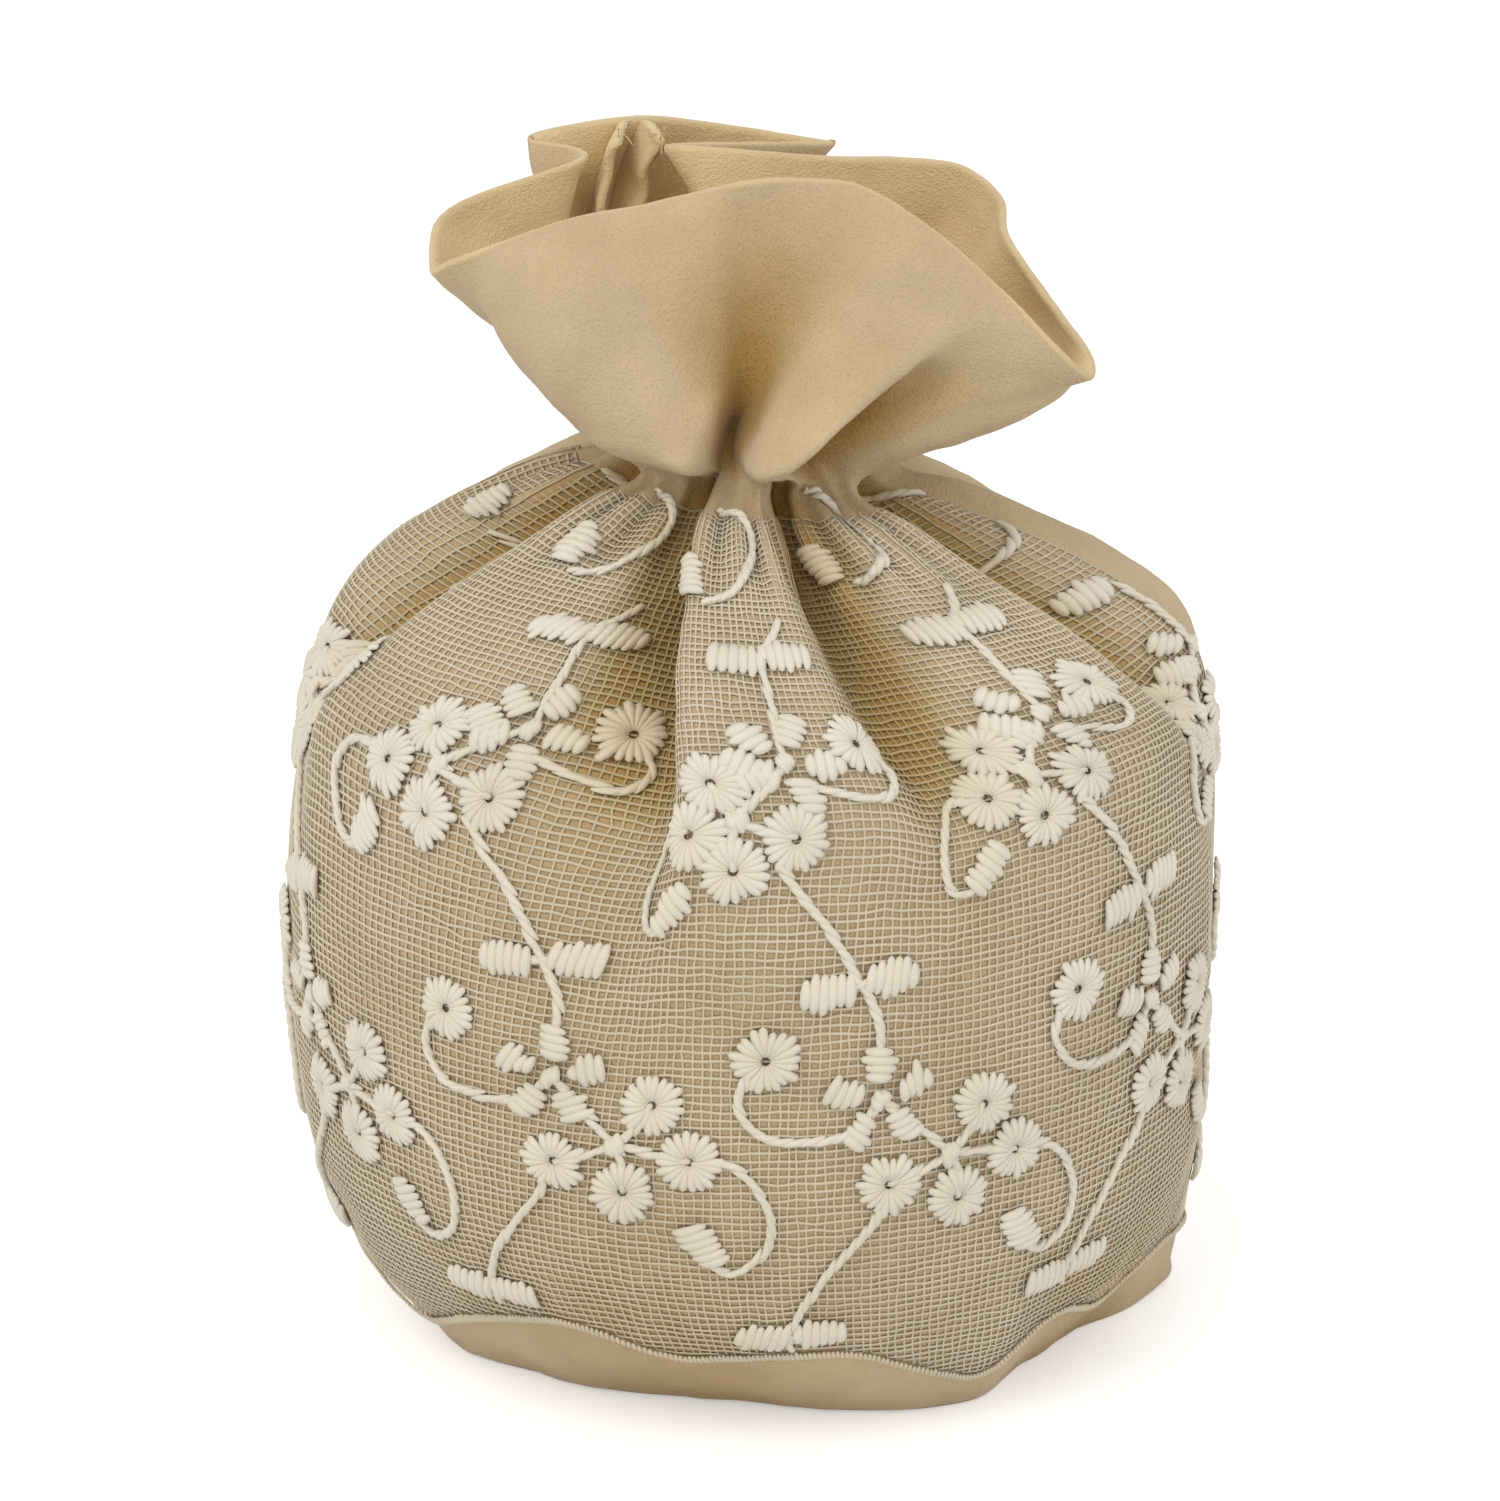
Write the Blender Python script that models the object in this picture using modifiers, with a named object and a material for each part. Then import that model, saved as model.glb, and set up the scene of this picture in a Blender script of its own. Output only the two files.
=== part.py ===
import math

import bmesh
import bpy
from mathutils import Matrix, Vector

# Driving sizes, in metres.
bellyWidth = 0.1205
bellyDepth = 0.112
baseMiddle = (0.006, 0.002)
neckHeight = 0.1185
neckTilt = -0.09
neckRadius = 0.0188
throatRadius = 0.0112
clothThickness = 0.0006
netThickness = 0.0005
threadHeight = 0.0009
elasticRadius = 0.0007
seatGap = 0.0003

# The net covers the cloth from one upright edge to the other, in mm round the belly from the front fold.
netLeft, netRight = -124.0, 90.0
netTop = 139.0
hemHeight, hemWave, hemRepeat = 16.5, 5.0, 41.0
# One stitched vine repeats along the net.
vineRepeat = 41.0
vinePlaces = [-114.0, -73.0, -32.0, 9.0, 50.0, 91.0]

# Brings the middle of the pouch's box over the origin.
boxShift = (0.00035, 0.00105)

mm = 0.001

# The folds of the cloth, going round from the left side past the front (0 degrees) to the back.
# Each: angle at the belly, angle at the neck, reach of the base in mm, fullness of the body's fold,
# fullness of the frill's fold, and where the fold meets the frill's rim (x, y, z in mm).
folds = [
    (-88, -90, 50.0, 0.85, 0.90, (-38.5, -10.0, 146.3)),
    (-76, -79, 51.5, 0.00, 0.90, (-37.0, -15.0, 145.5)),
    (-65, -66, 49.5, 0.90, 1.00, (-30.5, -17.0, 148.4)),
    (-50, -48, 44.5, 1.00, 1.00, (-22.0, -18.3, 151.5)),
    (-32, -31, 40.0, 0.70, 1.00, (-13.0, -18.5, 153.3)),
    (-16, -18, 38.5, 0.00, 1.00, (-5.5, -18.0, 154.9)),
    (-12, -16, 38.3, 0.95, 0.05, (0.5, -17.3, 155.7)),
    (3, -4, 39.8, 1.00, 0.20, (6.5, -17.0, 155.9)),
    (14, 4, 41.5, 0.85, 0.95, (13.5, -17.5, 155.2)),
    (21, 12, 42.8, 0.00, 1.00, (21.5, -19.2, 150.6)),
    (31, 20, 42.3, 0.60, 0.90, (30.0, -21.7, 143.6)),
    (43, 31, 39.0, 1.00, 0.15, (36.5, -24.0, 137.0)),
    (55, 46, 38.2, 1.00, 0.60, (40.8, -22.0, 133.0)),
    (66, 63, 40.0, 0.90, 0.80, (41.3, -17.0, 133.9)),
    (76, 76, 46.0, 0.00, 0.80, (40.3, -12.5, 135.6)),
    (88, 90, 50.5, 0.85, 0.90, (38.5, -7.5, 137.8)),
    (103, 104, 50.5, 1.00, 1.00, (35.5, -1.0, 141.0)),
    (119, 118, 46.0, 0.00, 0.70, (32.5, 6.0, 144.2)),
    (134, 132, 42.0, 1.00, 0.90, (31.7, 12.5, 147.5)),
    (149, 147, 39.0, 0.90, 1.00, (25.6, 18.0, 150.8)),
    (164, 161, 38.0, 0.00, 0.60, (8.0, 18.3, 151.5)),
    (180, 176, 38.5, 1.00, 0.20, (-10.0, 15.5, 153.5)),
    (195, 192, 41.0, 0.90, 0.60, (2.0, 22.5, 152.0)),
    (209, 206, 43.0, 0.00, 1.00, (11.0, 29.0, 150.8)),
    (223, 220, 42.5, 0.90, 1.00, (-2.5, 28.0, 154.1)),
    (236, 234, 41.5, 1.00, 0.90, (-15.0, 23.0, 156.3)),
    (247, 246, 43.0, 0.00, 0.40, (-27.5, 17.5, 154.0)),
    (258, 256, 46.0, 0.80, 0.60, (-21.5, 13.0, 152.5)),
    (266, 264, 48.5, 1.00, 0.90, (-33.0, 2.5, 149.7)),
]

def smooth(a, b, x):
    t = min(max((x - a) / (b - a), 0.0), 1.0)
    return t * t * (3 - 2 * t)


def ellipse(angle, width, depth):
    return 1 / math.hypot(math.sin(angle) / (width / 2), math.cos(angle) / (depth / 2))


# Levels of the body from the base up: height in mm on a ridge and in a valley, reach as a share of the
# belly on a ridge and in a valley, how far the base's outline has grown to the belly's, and how far the
# folds have drawn in: from -1, spread evenly, past 0 to 1, their places at the neck.
bodyLevels = [
    (0.0, 0.0, 1.00, 1.00, 0.0, -1.0),
    (2.5, 2.5, 1.00, 1.00, 0.13, -1.0),
    (8.0, 8.0, 1.00, 1.00, 0.40, -1.0),
    (17.0, 17.0, 1.00, 1.00, 0.70, -1.0),
    (30.0, 30.0, 1.00, 1.00, 0.92, -1.0),
    (46.0, 46.0, 1.00, 1.00, 1.0, -0.85),
    (62.0, 61.5, 1.00, 0.99, 1.0, -0.35),
    (77.0, 73.0, 0.99, 0.93, 1.0, 0.15),
    (91.0, 83.0, 0.945, 0.80, 1.0, 0.3),
    (102.0, 92.0, 0.84, 0.63, 1.0, 0.5),
    (110.0, 101.0, 0.67, 0.45, 1.0, 0.7),
    (114.5, 109.0, 0.475, 0.30, 1.0, 0.9),
]


def direction(angle):
    return Vector((math.sin(angle), -math.cos(angle), 0.0))


def evenAngle(fold):
    """Where a fold's cloth lies low on the body, where the folds have run out."""
    k, n = folds.index(fold), len(folds)
    return sum(folds[(k + i) % n][0] + 360 * ((k + i) // n) for i in range(-3, 4)) / 7


def bodyPoint(fold, level):
    zHigh, zLow, rHigh, rLow, grown, drawn = level
    belly, neck, full = math.radians(fold[0]), math.radians(fold[1]), fold[3]
    angle = belly + (neck - belly) * max(drawn, 0.0)
    angle += (math.radians(evenAngle(fold)) - angle) * max(-drawn, 0.0)
    outline = ellipse(angle, bellyWidth, bellyDepth)
    foot = fold[2] * mm
    reach = (foot + (outline - foot) * grown) * (rLow + (rHigh - rLow) * full)
    middle = Vector((*baseMiddle, 0)) * (1 - grown)
    p = direction(angle) * reach + middle
    p.z = (zLow + (zHigh - zLow) * full) * mm
    return p


def seamPoint(fold, side):
    """The cloth's ends meet under the base in a straight seam."""
    a = math.radians(fold[0] - seamAngle)
    d = direction(math.radians(seamAngle))
    across = Vector((-d.y, d.x, 0))
    return d * math.cos(a) * 0.03 + across * side * seatGap * 0.5 + Vector((*baseMiddle, 0))


def neckPoint(fold, frill=False):
    full = fold[4] if frill else fold[3]
    p = direction(math.radians(fold[1])) * (throatRadius + (neckRadius - throatRadius) * full)
    p.z = neckHeight + p.x * neckTilt
    return p


def frillPoint(fold, share, bulge):
    full = fold[4]
    a = direction(math.radians(fold[1]))
    start = a * (throatRadius + (neckRadius + 0.0062 - throatRadius) * full)
    start.z = neckHeight + start.x * neckTilt + 0.0045
    rim = Vector(fold[5]) * mm
    p = start.lerp(rim, share)
    out = Vector((rim.x * 0.5, rim.y, 0)).normalized()
    front = max(0.0, math.cos(math.radians(fold[1] + 8))) ** 2
    return p + (a * 0.3 + out * 0.7) * bulge * full * front + Vector((0, 0, -0.0015 * full * (1 - share)))


def between(a, b, c, d, t):
    """A point at t on a smooth curve from b to c, past a and towards d."""
    return 0.5 * (2 * b + (c - a) * t + (2 * a - 5 * b + 4 * c - d) * t * t + (3 * b - a - 3 * c + d) * t**3)


def spread(ring, times):
    """A closed ring of points, smoothed to so many points for each one given."""
    n = len(ring)
    return [
        between(ring[k - 1], ring[k], ring[(k + 1) % n], ring[(k + 2) % n], i / times)
        for k in range(n)
        for i in range(times)
    ]


def rows(rings, times):
    """Rows of points smoothed from one ring to the next."""
    out = []
    last = len(rings) - 1
    for k in range(last):
        a, b, c, d = (rings[min(max(k + i, 0), last)] for i in (-1, 0, 1, 2))
        for i in range(times[k]):
            out.append([between(*p, i / times[k]) for p in zip(a, b, c, d)])
    out.append(rings[-1])
    return out


seamFold = 25
seamAngle = folds[seamFold][0]


def levelsOfCloth():
    bottom = [seamPoint(f, 1 if 0 < (f[0] - seamAngle) % 360 < 180 else -1) for f in folds]
    rings = [bottom]
    rings.append([bodyPoint(f, bodyLevels[0]) * 0.8 + Vector((*baseMiddle, 0)) * 0.2 for f in folds])
    rings += [[bodyPoint(f, level) for f in folds] for level in bodyLevels]
    rings.append([neckPoint(f) + Vector((0, 0, -0.0025)) for f in folds])
    rings.append([(neckPoint(f) + neckPoint(f, True)) / 2 for f in folds])
    for share, bulge in ((0.0, 0.0), (0.25, 0.004), (0.55, 0.005), (0.82, 0.0025)):
        rings.append([frillPoint(f, share, bulge) for f in folds])
    rings.append([Vector(f[5]) * mm for f in folds])
    return rings

perFold = 2
rowTimes = [2, 1, 1, 1, 1, 1, 1, 1, 1, 2, 1, 1, 1, 1, 1, 1, 2, 1, 1, 1]
baseRow = 3
grid = rows([spread(ring, perFold) for ring in levelsOfCloth()], rowTimes)
around = len(grid[0])
frontColumn = 7 * perFold
seamColumn = seamFold * perFold
bellyRow = baseRow + 5


def normalAt(row, column):
    across = grid[row][(column + 1) % around] - grid[row][(column - 1) % around]
    up = grid[min(row + 1, len(grid) - 1)][column] - grid[max(row - 1, 0)][column]
    return across.cross(up).normalized()


normals = [[normalAt(r, c) for c in range(around)] for r in range(len(grid))]

# How far each column lies round the belly, and each row up the cloth from the base's edge, in mm.
steps = [(grid[bellyRow][(c + 1) % around] - grid[bellyRow][c]).length / mm for c in range(around)]
girth = sum(steps)
columnPlace = [sum(steps[:c]) - sum(steps[:frontColumn]) for c in range(around)]
rises = [
    sum((grid[r + 1][c] - grid[r][c]).length for c in range(around)) / around / mm for r in range(len(grid) - 1)
]
rowPlace = [sum(rises[:r]) - sum(rises[:baseRow]) for r in range(len(grid))]


def onCloth(x, s, out):
    """The point at x round the belly and s up the cloth, both in mm, lifted off the cloth."""
    x = (x - columnPlace[0]) % girth + columnPlace[0]
    c = max(k for k in range(around) if columnPlace[k] <= x + 1e-9)
    r = max(k for k in range(len(grid) - 1) if rowPlace[k] <= s or k == 0)
    t = (x - columnPlace[c]) / steps[c]
    w = min((s - rowPlace[r]) / rises[r], 1.0)
    c2 = (c + 1) % around

    def mixed(g):
        return g[r][c].lerp(g[r][c2], t).lerp(g[r + 1][c].lerp(g[r + 1][c2], t), w)

    return mixed(grid) + mixed(normals).normalized() * out


def material(name, colour, roughness):
    m = bpy.data.materials.new(name)
    m.use_nodes = True
    shader = m.node_tree.nodes["Principled BSDF"]
    shader.inputs["Base Color"].default_value = (*colour, 1.0)
    shader.inputs["Roughness"].default_value = roughness
    shader.inputs["Metallic"].default_value = 0.0
    return m


def addObject(name, mesh, finish):
    obj = bpy.data.objects.new(name, mesh)
    pouch.objects.link(obj)
    mesh.materials.append(finish)
    for face in mesh.polygons:
        face.use_smooth = True
    obj.parent = root
    return obj


def sheetMesh(name, points):
    """A sheet of quads through rows of points."""
    wide = len(points[0])
    faces = [
        (r * wide + c, r * wide + c + 1, (r + 1) * wide + c + 1, (r + 1) * wide + c)
        for r in range(len(points) - 1)
        for c in range(wide - 1)
    ]
    mesh = bpy.data.meshes.new(name)
    mesh.from_pydata([p for row in points for p in row], [], faces)
    mesh.update()
    return mesh


for old in list(bpy.data.objects):
    bpy.data.objects.remove(old)
pouch = bpy.data.collections.new("pouch")
bpy.context.scene.collection.children.link(pouch)
root = bpy.data.objects.new("pouch_root", None)
root.location = (*boxShift, 0)
pouch.objects.link(root)

crepe = material("crepe", (0.578, 0.445, 0.262), 0.9)
net = material("net", (0.76, 0.70, 0.55), 0.8)
thread = material("thread", (0.85, 0.80, 0.68), 0.7)
rubber = material("elastic", (0.78, 0.74, 0.64), 0.8)


def makeBag():
    """One cloth: its two upright edges meet at the seam, a seat gap apart."""
    order = [(seamColumn + k) % around for k in range(around + 1)]
    points = [[row[c].copy() for c in order] for row in grid]
    for row in points:
        along = (row[1] - row[0]).normalized()
        back = (row[-2] - row[-1]).normalized()
        row[0] += along * seatGap * 0.5
        row[-1] += back * seatGap * 0.5
    bag = addObject("crepe_bag", sheetMesh("crepe_bag", points), crepe)
    thick = bag.modifiers.new("cloth", "SOLIDIFY")
    thick.thickness = clothThickness
    thick.offset = -1.0
    thick.use_quality_normals = True
    return bag


def hemAt(x):
    return hemHeight - 0.06 * x + hemWave * math.cos(math.tau * (x - 11.0) / hemRepeat)


def makeNet():
    inside = sorted(columnPlace[c] + k * girth for c in range(around) for k in (-1, 0, 1))
    xs = [netLeft] + [x for x in inside if netLeft + 1.5 < x < netRight - 1.5] + [netRight]
    heights = [0.0] + [s for s in rowPlace if 5 < s < netTop - 1.5] + [netTop]
    bm = bmesh.new()
    flat = [[bm.verts.new((x, max(s, hemAt(x)), 0)) for x in xs] for s in heights]
    for low, high in zip(flat, flat[1:]):
        for k in range(len(xs) - 1):
            bm.faces.new((low[k], low[k + 1], high[k + 1], high[k]))
    bmesh.ops.remove_doubles(bm, verts=bm.verts, dist=0.6)
    for v in bm.verts:
        v.co = onCloth(v.co.x, v.co.y, seatGap * (1 + 0.6 * smooth(110, 130, v.co.y)))
    mesh = bpy.data.meshes.new("net_overlay")
    bm.to_mesh(mesh)
    bm.free()
    sheet = addObject("net_overlay", mesh, net)
    thick = sheet.modifiers.new("net", "SOLIDIFY")
    thick.thickness = netThickness
    thick.offset = 1.0
    thick.use_quality_normals = True
    return sheet


# One vine, flat: mm across from its own line and mm up the cloth.
rounds = [(-15, 97), (-18.7, 91), (-12.7, 87), (-6, 90.7), (4.7, 102.5), (-8.2, 64), (19.1, 56), (23.6, 48.8),
          (6.9, 47), (15.6, 44)]
hubs = [(-12.3, 92.6), (14.6, 50.2), (-5, 115), (2.6, 73), (-5.4, 100.2), (5.6, 58.4)]
# Flowers of five leaves: middle, and the turn of the first leaf in degrees.
leafFlowers = [(-5.4, 100.2, 68), (5.6, 58.4, 38)]
# Leaves: middle and turn in degrees.
leaves = [(-12.5, 114.3, 0), (2.5, 115.7, 0), (-21, 82.6, 50), (-4, 72, 5), (9, 74, 5), (24.6, 37.4, 120),
          (-15, 24.6, 0), (3.2, 25.4, 0), (-17.2, 125.6, 100)]
stems = [
    [(-7, 136), (-5.8, 131.5), (-7.3, 126.5), (-11.5, 122.6), (-16, 122.6)],
    [(-13, 114.5), (-5, 115), (3, 115.6)],
    [(-5, 115), (-5.2, 108), (-5.4, 101)],
    [(-5.4, 100.2), (-12.3, 92.6), (-12.7, 87)],
    [(-15, 97), (-12.3, 92.6), (-6, 90.7)],
    [(-4, 97), (4.5, 95), (8, 98), (6, 101)],
    [(-19, 91.5), (-24.5, 91), (-27.3, 86), (-26, 80.5), (-22.5, 80)],
    [(-8, 88), (-5.5, 85), (-1.5, 80), (2.6, 73), (5.2, 67.5), (5.2, 62)],
    [(-4, 72), (2.6, 73), (9, 74)],
    [(-10, 63), (-11.4, 58.5), (-8.6, 54.4), (-3, 53.6), (2.6, 54.8), (5.6, 58.4)],
    [(5.6, 58.4), (14.6, 50.2), (15.6, 44)],
    [(19.1, 56), (14.6, 50.2), (6.9, 47)],
    [(14.6, 50.2), (23.6, 48.8)],
    [(24, 48.6), (29, 48.2), (32.8, 42.5), (32.5, 36.5), (28.3, 33.3), (25.2, 34.8)],
    [(6, 46), (5, 42), (0.5, 36.5), (-3.4, 31), (-6.2, 25.5)],
    [(-15, 24.6), (-6.2, 25), (3.2, 25.4)],
]
# Below this height the folds have run out, and every second column is enough.
foldsFrom = 64.0
roundRadius, hubRadius, leafLong, leafWide, stemWide = 3.7, 1.5, 7.6, 3.3, 1.1


def polygonRing(x, y, a, b, turn, sides):
    """An oval of so many corners: half sizes a and b, turned by degrees."""
    c, s = math.cos(math.radians(turn)), math.sin(math.radians(turn))
    pts = [(a * math.cos(math.tau * i / sides), b * math.sin(math.tau * i / sides)) for i in range(sides)]
    return [(x + p * c - q * s, y + p * s + q * c) for p, q in pts]


def ribbonRing(path, wide):
    """The outline of a ribbon along a path."""
    left, right = [], []
    for i, p in enumerate(path):
        a, b = path[max(i - 1, 0)], path[min(i + 1, len(path) - 1)]
        d = Vector((b[0] - a[0], b[1] - a[1])).normalized()
        left.append((p[0] - d.y * wide / 2, p[1] + d.x * wide / 2))
        right.append((p[0] + d.y * wide / 2, p[1] - d.x * wide / 2))
    return right + left[::-1]


def vineShapes():
    shapes = [polygonRing(x, y, roundRadius, roundRadius, 0, 7) for x, y in rounds]
    shapes += [polygonRing(x, y, hubRadius, hubRadius, 15, 5) for x, y in hubs]
    shapes += [polygonRing(x, y, leafLong / 2, leafWide / 2, turn, 6) for x, y, turn in leaves]
    for x, y, first in leafFlowers:
        for k in range(5):
            a = math.radians(first + 72 * k)
            shapes.append(polygonRing(x + 3.1 * math.cos(a), y + 3.1 * math.sin(a), 2.9, 1.8, first + 72 * k, 4))
    shapes += [ribbonRing(path, stemWide) for path in stems]
    return shapes


def prism(outline, low, high):
    mesh = bpy.data.meshes.new("prism")
    n = len(outline)
    points = [(x, y, low) for x, y in outline] + [(x, y, high) for x, y in outline]
    faces = [tuple(range(n))[::-1], tuple(range(n, 2 * n))]
    faces += [(i, (i + 1) % n, n + (i + 1) % n, n + i) for i in range(n)]
    mesh.from_pydata(points, [], faces)
    return mesh


def unionOf(outlines):
    """The outlines as one flat raised piece: the first cut is the base of a union with all the rest."""
    pieces = []
    for outline in outlines:
        piece = bpy.data.objects.new("piece", prism(outline, 0.0, 1.0))
        cutters.objects.link(piece)
        pieces.append(piece)
    first = pieces[0]
    group = bpy.data.collections.new("rest")
    bpy.context.scene.collection.children.link(group)
    for piece in pieces[1:]:
        group.objects.link(piece)
    join = first.modifiers.new("join", "BOOLEAN")
    join.operation = "UNION"
    join.solver = "EXACT"
    join.operand_type = "COLLECTION"
    join.collection = group
    seen = first.evaluated_get(bpy.context.evaluated_depsgraph_get())
    mesh = bpy.data.meshes.new_from_object(seen)
    for piece in pieces:
        bpy.data.objects.remove(piece)
    bpy.data.collections.remove(group)
    return mesh


def laidOnNet(flat, place):
    """The flat vine, cut along the cloth's own rows and columns so that it bends where they do."""
    bm = bmesh.new()
    bm.from_mesh(flat)
    bmesh.ops.dissolve_limit(bm, angle_limit=0.02, verts=bm.verts, edges=bm.edges)
    bmesh.ops.remove_doubles(bm, verts=bm.verts, dist=0.1)
    bmesh.ops.translate(bm, verts=bm.verts, vec=(place, 0, 0))
    for s in rowPlace:
        if 5 < s < 150:
            cut(bm, (0, s, 0), (0, 1, 0), 0)
    for c in range(around):
        for k in (-1, 0, 1):
            x = columnPlace[c] + k * girth
            if abs(x - place) < 45:
                cut(bm, (x, 0, 0), (1, 0, 0), foldsFrom if c % 2 else 0)
    bmesh.ops.triangulate(bm, faces=bm.faces)
    for v in bm.verts:
        lift = netThickness + seatGap * (2 + smooth(foldsFrom - 5, foldsFrom + 10, v.co.y))
        v.co = onCloth(v.co.x, v.co.y, lift + v.co.z * threadHeight)
    bmesh.ops.recalc_face_normals(bm, faces=bm.faces)
    return bm


def cut(bm, point, normal, above):
    """Cuts the flat vine with a plane, where it lies above a height."""
    faces = [f for f in bm.faces if f.calc_center_median().y >= above]
    edges = {e for f in faces for e in f.edges}
    verts = {v for f in faces for v in f.verts}
    bmesh.ops.bisect_plane(bm, geom=[*verts, *edges, *faces], dist=0.02, plane_co=point, plane_no=normal)


def islands(bm):
    left = set(bm.verts)
    while left:
        group, todo = set(), [left.pop()]
        while todo:
            v = todo.pop()
            group.add(v)
            for e in v.link_edges:
                w = e.other_vert(v)
                if w in left:
                    left.discard(w)
                    todo.append(w)
        yield group


def makeVines():
    for number, place in enumerate(vinePlaces, 1):
        kept = [
            s
            for s in vineShapes()
            if min(p[0] for p in s) + place > netLeft + 1.5 and max(p[0] for p in s) + place < netRight - 1.5
        ]
        bm = laidOnNet(unionOf(kept), place)
        parts = sorted(islands(bm), key=len, reverse=True)
        parts = [g for g in parts if len(g) > 30]
        for k, group in enumerate(parts):
            one = bm.copy()
            bm.verts.index_update()
            keep = {v.index for v in group}
            one.verts.ensure_lookup_table()
            one.verts.index_update()
            bmesh.ops.delete(one, geom=[v for v in one.verts if v.index not in keep], context="VERTS")
            if one.calc_volume(signed=True) < 0:
                bmesh.ops.reverse_faces(one, faces=one.faces)
            mesh = bpy.data.meshes.new("vine")
            one.to_mesh(mesh)
            one.free()
            high = max(v.co.z for v in mesh.vertices) > 0.1
            name = f"vine_{number}" if k == 0 else f"vine_{number}_{'curl' if high else 'side'}"
            addObject(name, mesh, thread)
        bm.free()


def makeElastic():
    """A thin ring inside the neck that draws the folds in."""
    bpy.ops.mesh.primitive_torus_add(
        major_radius=throatRadius - clothThickness - seatGap - elasticRadius,
        minor_radius=elasticRadius,
        major_segments=24,
        minor_segments=6,
    )
    ring = bpy.context.object
    ring.name = "neck_elastic"
    for c in list(ring.users_collection):
        c.objects.unlink(ring)
    pouch.objects.link(ring)
    ring.location = (0, 0, neckHeight - 0.0025)
    ring.rotation_euler = (0, -math.atan(neckTilt), 0)
    ring.parent = root
    ring.data.materials.append(rubber)
    for face in ring.data.polygons:
        face.use_smooth = True
    return ring


cutters = bpy.data.collections.new("cutters")
bpy.context.scene.collection.children.link(cutters)
makeBag()
makeNet()
makeVines()
makeElastic()
bpy.data.collections.remove(cutters)
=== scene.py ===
import math

import bpy
import numpy as np
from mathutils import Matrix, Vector, noise


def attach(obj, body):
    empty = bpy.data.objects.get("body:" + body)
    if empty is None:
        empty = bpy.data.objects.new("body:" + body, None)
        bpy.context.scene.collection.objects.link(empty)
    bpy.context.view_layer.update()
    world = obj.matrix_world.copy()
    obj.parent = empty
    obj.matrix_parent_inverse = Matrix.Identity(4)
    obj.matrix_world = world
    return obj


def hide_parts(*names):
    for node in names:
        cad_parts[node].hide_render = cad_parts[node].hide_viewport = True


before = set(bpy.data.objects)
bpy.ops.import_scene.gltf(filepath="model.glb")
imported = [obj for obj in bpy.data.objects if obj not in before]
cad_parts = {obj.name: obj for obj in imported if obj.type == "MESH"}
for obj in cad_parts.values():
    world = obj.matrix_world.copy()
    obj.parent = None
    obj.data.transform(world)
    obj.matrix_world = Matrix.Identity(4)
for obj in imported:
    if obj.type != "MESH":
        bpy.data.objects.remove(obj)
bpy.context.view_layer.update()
mm = 0.001
chance = np.random.default_rng(41)
print("frame loaded")


# The pouch's form, in metres. Its folds follow the frame's, drawn finer.
pouch = {
    "bellyWidth": 0.1205,
    "bellyDepth": 0.112,
    "baseMiddle": (0.006, 0.002),
    "baseSeam": 0.03,  # half the length of the straight seam under the base
    "baseGap": 0.00015,  # half the gap along that seam
    "baseInner": 0.8,  # the ring between seam and edge, as a share of the edge
    "neckHeight": 0.1185,
    "neckTilt": -0.09,
    "neckRadius": 0.0188,
    "throatRadius": 0.0112,
    "underNeck": 0.0025,  # how far the ring under the neck lies below it
    "place": (0.00035, 0.00105, 0.0),
    "columnsPerFold": 8,
    "seamFold": 25,
    "frontFold": 7,
}
crinkle = {"height": 0.00022, "coarse": 90.0, "coarseShare": 1.6, "fine": 260.0}  # the cloth's unevenness

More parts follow.
